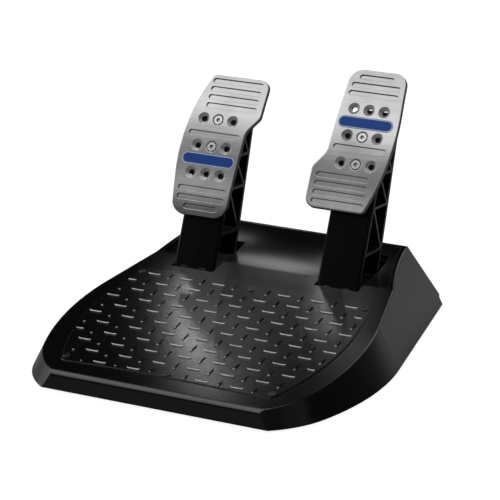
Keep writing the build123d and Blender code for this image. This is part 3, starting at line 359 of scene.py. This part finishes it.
def tread_plastic():
    """Black tread whose bars carry a painted highlight where they face forwards, towards the user's heels.
    """
    material, tree, shader = new_material("tread plastic")
    set_values(shader, Specular_IOR_Level=0.4)
    effect = use_group(tree, grain, Grain_Scale=3000.0, Low_Roughness=0.2, High_Roughness=0.26)
    outward = Vector((0.0, -sin(panel_tilt), cos(panel_tilt)))
    forward = Vector((0.0, -cos(panel_tilt), -sin(panel_tilt)))
    height = calc(tree, "SUBTRACT", along(tree, object_point(tree), outward), outward.dot(panel_point))
    share = calc(tree, "DIVIDE", calc(tree, "SUBTRACT", height, plate_top), bar_crest - plate_top)
    crest = ramp(tree, share, ((0.25, 0.0), (0.6, 1.0)))
    front = ramp(tree, along(tree, surface_normal(tree), forward), ((0.3, 0.0), (0.5, 1.0)))
    highlight_breakup = calc(tree, "ADD", noise(tree, object_point(tree), Scale=260.0), 0.3)
    # Painted highlight: the forward faces of the bar crests are pale, broken up by noise.
    bar_highlight = calc(tree, "MULTIPLY", calc(tree, "MULTIPLY", crest, highlight_breakup), front)
    colour = mix(tree, bar_highlight, (0.002, 0.002, 0.0025), (0.7, 0.7, 0.71))
    tree.links.new(colour, shader.inputs["Base Color"])
    tree.links.new(effect["Roughness"], shader.inputs["Roughness"])
    add_bump(tree, shader, effect["Height"], strength=0.15, distance=grain_height)
    return material


def brushed_face():
    """Brushed aluminium of the pedal faces, with painted shade in its grooves and dimples, which are also
    duller.
    """
    material, tree, shader = new_material("brushed face metal")
    set_values(shader, Metallic=1.0)
    effect = use_group(tree, brushing, Low_Roughness=0.1, High_Roughness=0.2)
    edges = use_group(tree, edging, Width=2 * edge_width)
    square = Vector((0.0, -cos(face_lean), sin(face_lean)))
    facing = along(tree, surface_normal(tree), square)
    flat = ramp(tree, facing, ((0.5, 0.0), (0.72, 1.0)))
    unshaded_share = ramp(tree, edges["Open"], ((0.05, 0.0), (0.6, 1.0)))
    tone = ramp(tree, effect["Tone"], ((0.2, (0.5, 0.5, 0.51)), (0.8, (0.78, 0.78, 0.79))))
    # Painted shade: groove walls and recesses are darkened in the base colour.
    colour = mix(tree, calc(tree, "MULTIPLY", flat, unshaded_share), (0.06, 0.06, 0.065), tone)
    cast = ramp(tree, facing, ((0.85, 0.45), (0.95, 0.0)))
    tree.links.new(colour, shader.inputs["Base Color"])
    tree.links.new(calc(tree, "MAXIMUM", effect["Roughness"], cast), shader.inputs["Roughness"])
    add_bump(tree, shader, effect["Height"], strength=0.15, distance=brushed_height, normal=edges["Normal"])
    return material


def badge_enamel():
    """Blue enamel badge with a pale metal rim round its edge."""
    material, tree, shader = new_material("badge enamel")
    tall = Vector((0.0, sin(face_lean), cos(face_lean)))
    point = object_point(tree)
    across = parts_of(tree, point)[0]
    reaches = []
    for centre in badge_centres:
        sideways = calc(tree, "ABSOLUTE", calc(tree, "SUBTRACT", across, centre.x))
        past = calc(tree, "MAXIMUM", calc(tree, "SUBTRACT", sideways, badge_half_straight), 0.0)
        up = calc(tree, "SUBTRACT", along(tree, point, tall), tall.dot(centre))
        square_up = calc(tree, "MULTIPLY", up, up)
        reaches.append(calc(tree, "SQRT", calc(tree, "MULTIPLY_ADD", past, past, square_up)))
    share = calc(tree, "DIVIDE", calc(tree, "MINIMUM", *reaches), badge_radius)
    rim = ramp(tree, share, ((0.82, 0.0), (0.88, 1.0)))
    colour = mix(tree, rim, (0.010, 0.045, 0.20), (0.34, 0.40, 0.55))
    tree.links.new(colour, shader.inputs["Base Color"])
    set_values(shader, Roughness=0.3, Specular_IOR_Level=0.15)
    return material


def screw_metal():
    """Nickelled face screw, with painted shade in its driver socket and round its head."""
    material, tree, shader = new_material("face screws")
    set_values(shader, Metallic=1.0, Roughness=0.25)
    edges = use_group(tree, edging)
    unshaded_share = ramp(tree, edges["Open"], ((0.5, 0.0), (0.8, 1.0)))
    # Painted shade: the socket and the ring round the head are darkened in the base colour.
    colour = mix(tree, unshaded_share, grey(0.01), (0.85, 0.85, 0.86))
    tree.links.new(colour, shader.inputs["Base Color"])
    tree.links.new(edges["Normal"], shader.inputs["Normal"])
    return material


def plain_metal(name, colour, rough):
    """Turned or drawn metal."""
    material, tree, shader = new_material(name)
    set_values(shader, Base_Color=(*colour, 1.0), Metallic=1.0)
    low, high = rough
    effect = use_group(tree, grain, Grain_Scale=4000.0, Low_Roughness=low, High_Roughness=high)
    tree.links.new(effect["Roughness"], shader.inputs["Roughness"])
    add_bump(tree, shader, effect["Height"], strength=0.1, distance=turned_height)
    return material


finishes = {
    "housing_plastic": edged_plastic(
        "housing plastic", (0.002, 0.002, 0.0022), (0.17, 0.23), 0.4, edge_highlight_tone=0.045, lip_highlight_tone=0.07
    ),
    "arm_plastic": edged_plastic("arm plastic", (0.001, 0.001, 0.0012), (0.2, 0.3), 0.15, edge_highlight_tone=0.1),
    "tread_plastic": tread_plastic(),
    "face_metal": brushed_face(),
    "badge_blue": badge_enamel(),
    "face_screws": screw_metal(),
    "cover_plastic": moulded_plastic("cover plastic", (0.008, 0.008, 0.009), (0.5, 0.65), 0.3),
    "feet_rubber": moulded_plastic("feet rubber", (0.02, 0.02, 0.02), (0.7, 0.85), 0.4, scale=1800.0),
    "grommet_rubber": moulded_plastic("grommet rubber", (0.015, 0.015, 0.015), (0.6, 0.75), 0.3),
    "board_green": moulded_plastic("board green", (0.02, 0.16, 0.05), (0.25, 0.35), 0.1),
    "connector_white": moulded_plastic("connector white", (0.75, 0.75, 0.70), (0.4, 0.55), 0.15),
    "bush_plastic": moulded_plastic("bush plastic", (0.62, 0.55, 0.40), (0.4, 0.5), 0.1),
    "gear_nylon": moulded_plastic("gear nylon", (0.70, 0.70, 0.66), (0.4, 0.5), 0.15),
    "sensor_case": moulded_plastic("sensor case", (0.02, 0.035, 0.10), (0.35, 0.45), 0.1),
    "black_screws": plain_metal("black screws", (0.10, 0.10, 0.10), (0.3, 0.5)),
    "cover_screws": plain_metal("cover screws", (0.42, 0.42, 0.44), (0.3, 0.45)),
    "board_screws": plain_metal("inner screws", (0.48, 0.48, 0.49), (0.3, 0.45)),
    "insert_brass": plain_metal("insert brass", (0.72, 0.50, 0.20), (0.25, 0.4)),
    "sensor_metal": plain_metal("sensor metal", (0.5, 0.5, 0.51), (0.25, 0.4)),
    "axle_steel": plain_metal("axle steel", (0.55, 0.55, 0.56), (0.18, 0.3)),
    "spring_steel": plain_metal("spring steel", (0.42, 0.42, 0.44), (0.25, 0.4)),
}

slot_of = {entry["node"]: entry["material_slot"] for entry in frame["record"]["subparts"]}
for node, piece in frame["nodes"].items():
    piece.data.materials.clear()
    piece.data.materials.append(finishes[slot_of[node]])
    piece.data.shade_smooth()
    piece.data.set_sharp_from_angle(angle=sharp_edge)

# Return springs


def shorten_spring(pivot):
    """Gives the spring that the pivot deforms a mesh of its own."""
    spring = pivot["deforming_nodes"][0]
    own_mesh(frame["nodes"][spring["node"]])


for joint in frame["record"]["behaviour"]["joints"]:
    if joint.get("deforming_nodes"):
        shorten_spring(joint)

# Floor, light and camera


def white_floor():
    """Pale floor that runs far past the view, and dims towards the front in the gloss."""
    mesh = bpy.data.meshes.new("floor")
    corners = [
        (-floor_reach, -floor_reach, 0), (floor_reach, -floor_reach, 0),
        (floor_reach, floor_reach, 0), (-floor_reach, floor_reach, 0),
    ]
    mesh.from_pydata(corners, [], [(0, 1, 2, 3)])
    floor = bpy.data.objects.new("floor", mesh)
    bpy.context.collection.objects.link(floor)
    material, tree, shader = new_material("floor white")
    set_values(shader, Roughness=0.9, Specular_IOR_Level=0.0, Base_Color=(*grey(floor_tone), 1.0))
    path = add(tree, "ShaderNodeLightPath").outputs
    place = add(tree, "ShaderNodeNewGeometry").outputs["Position"]
    depth = calc(tree, "MULTIPLY_ADD", parts_of(tree, place)[1], 0.5, 0.5)
    glow = mix(tree, path["Is Camera Ray"], grey(floor_to_object), grey(floor_to_eye))
    glow = mix(tree, path["Is Glossy Ray"], glow, ramp(tree, depth, floor_mirrored))
    tree.links.new(glow, shader.inputs["Emission Color"])
    set_values(shader, Emission_Strength=1.0)
    floor.data.materials.append(material)


def soft_world():
    """White for the eye, and to the object's gloss a dark studio with soft boxes round it."""
    world = bpy.data.worlds.new("studio")
    bpy.context.scene.world = world
    world.use_nodes = True
    tree = world.node_tree
    tree.nodes.clear()
    path = add(tree, "ShaderNodeLightPath").outputs
    x, y, z = parts_of(tree, add(tree, "ShaderNodeTexCoord").outputs["Generated"])
    ahead = calc(tree, "MULTIPLY", y, -1.0)
    turn = calc(tree, "DIVIDE", calc(tree, "ARCTAN2", z, ahead), pi)
    across = calc(tree, "MULTIPLY_ADD", x, 0.5, 0.5)
    overhead = calc(
        tree, "MULTIPLY", ramp(tree, turn, overhead_turn), ramp(tree, across, overhead_across)
    )
    rear = calc(tree, "MULTIPLY", ramp(tree, turn, rear_turn), ramp(tree, across, rear_across))
    boxes = calc(tree, "ADD", overhead, ramp(tree, across, left_across))
    boxes = calc(tree, "MULTIPLY", calc(tree, "ADD", boxes, rear), box_level)
    colour = mix(tree, path["Is Glossy Ray"], grey(1.0), boxes)
    back = add(tree, "ShaderNodeBackground")
    tree.links.new(colour, back.inputs["Color"])
    output = add(tree, "ShaderNodeOutputWorld")
    tree.links.new(back.outputs["Background"], output.inputs["Surface"])


def soft_lamp(name, place, aim, width, power):
    """Round soft lamp that faces a point and casts no shadow."""
    lamp = bpy.data.lights.new(name, "AREA")
    lamp.shape = "DISK"
    lamp.use_shadow = False
    lamp.spread = lamp_spread
    lamp.size = width
    lamp.energy = power
    holder = bpy.data.objects.new(name, lamp)
    holder.location = place
    holder.rotation_euler = (Vector(aim) - Vector(place)).to_track_quat("-Z", "Y").to_euler()
    bpy.context.collection.objects.link(holder)


def add_camera():
    """Camera at the photograph's place and angle, with no roll."""
    back = Vector((
        sin(camera_azimuth) * cos(camera_elevation),
        -cos(camera_azimuth) * cos(camera_elevation),
        sin(camera_elevation),
    ))
    right = Vector((cos(camera_azimuth), sin(camera_azimuth), 0.0))
    turn = Matrix((right, back.cross(right), back)).transposed()
    data = bpy.data.cameras.new("camera")
    data.lens = camera_lens
    data.sensor_width = camera_sensor
    camera = bpy.data.objects.new("camera", data)
    camera.matrix_world = Matrix.Translation(camera_place) @ turn.to_4x4()
    bpy.context.collection.objects.link(camera)
    bpy.context.scene.camera = camera


white_floor()
soft_world()
for name, (place, aim, width, power) in glows.items():
    soft_lamp(name, place, aim, width, power)
add_camera()
bpy.context.scene.view_settings.view_transform = "Standard"
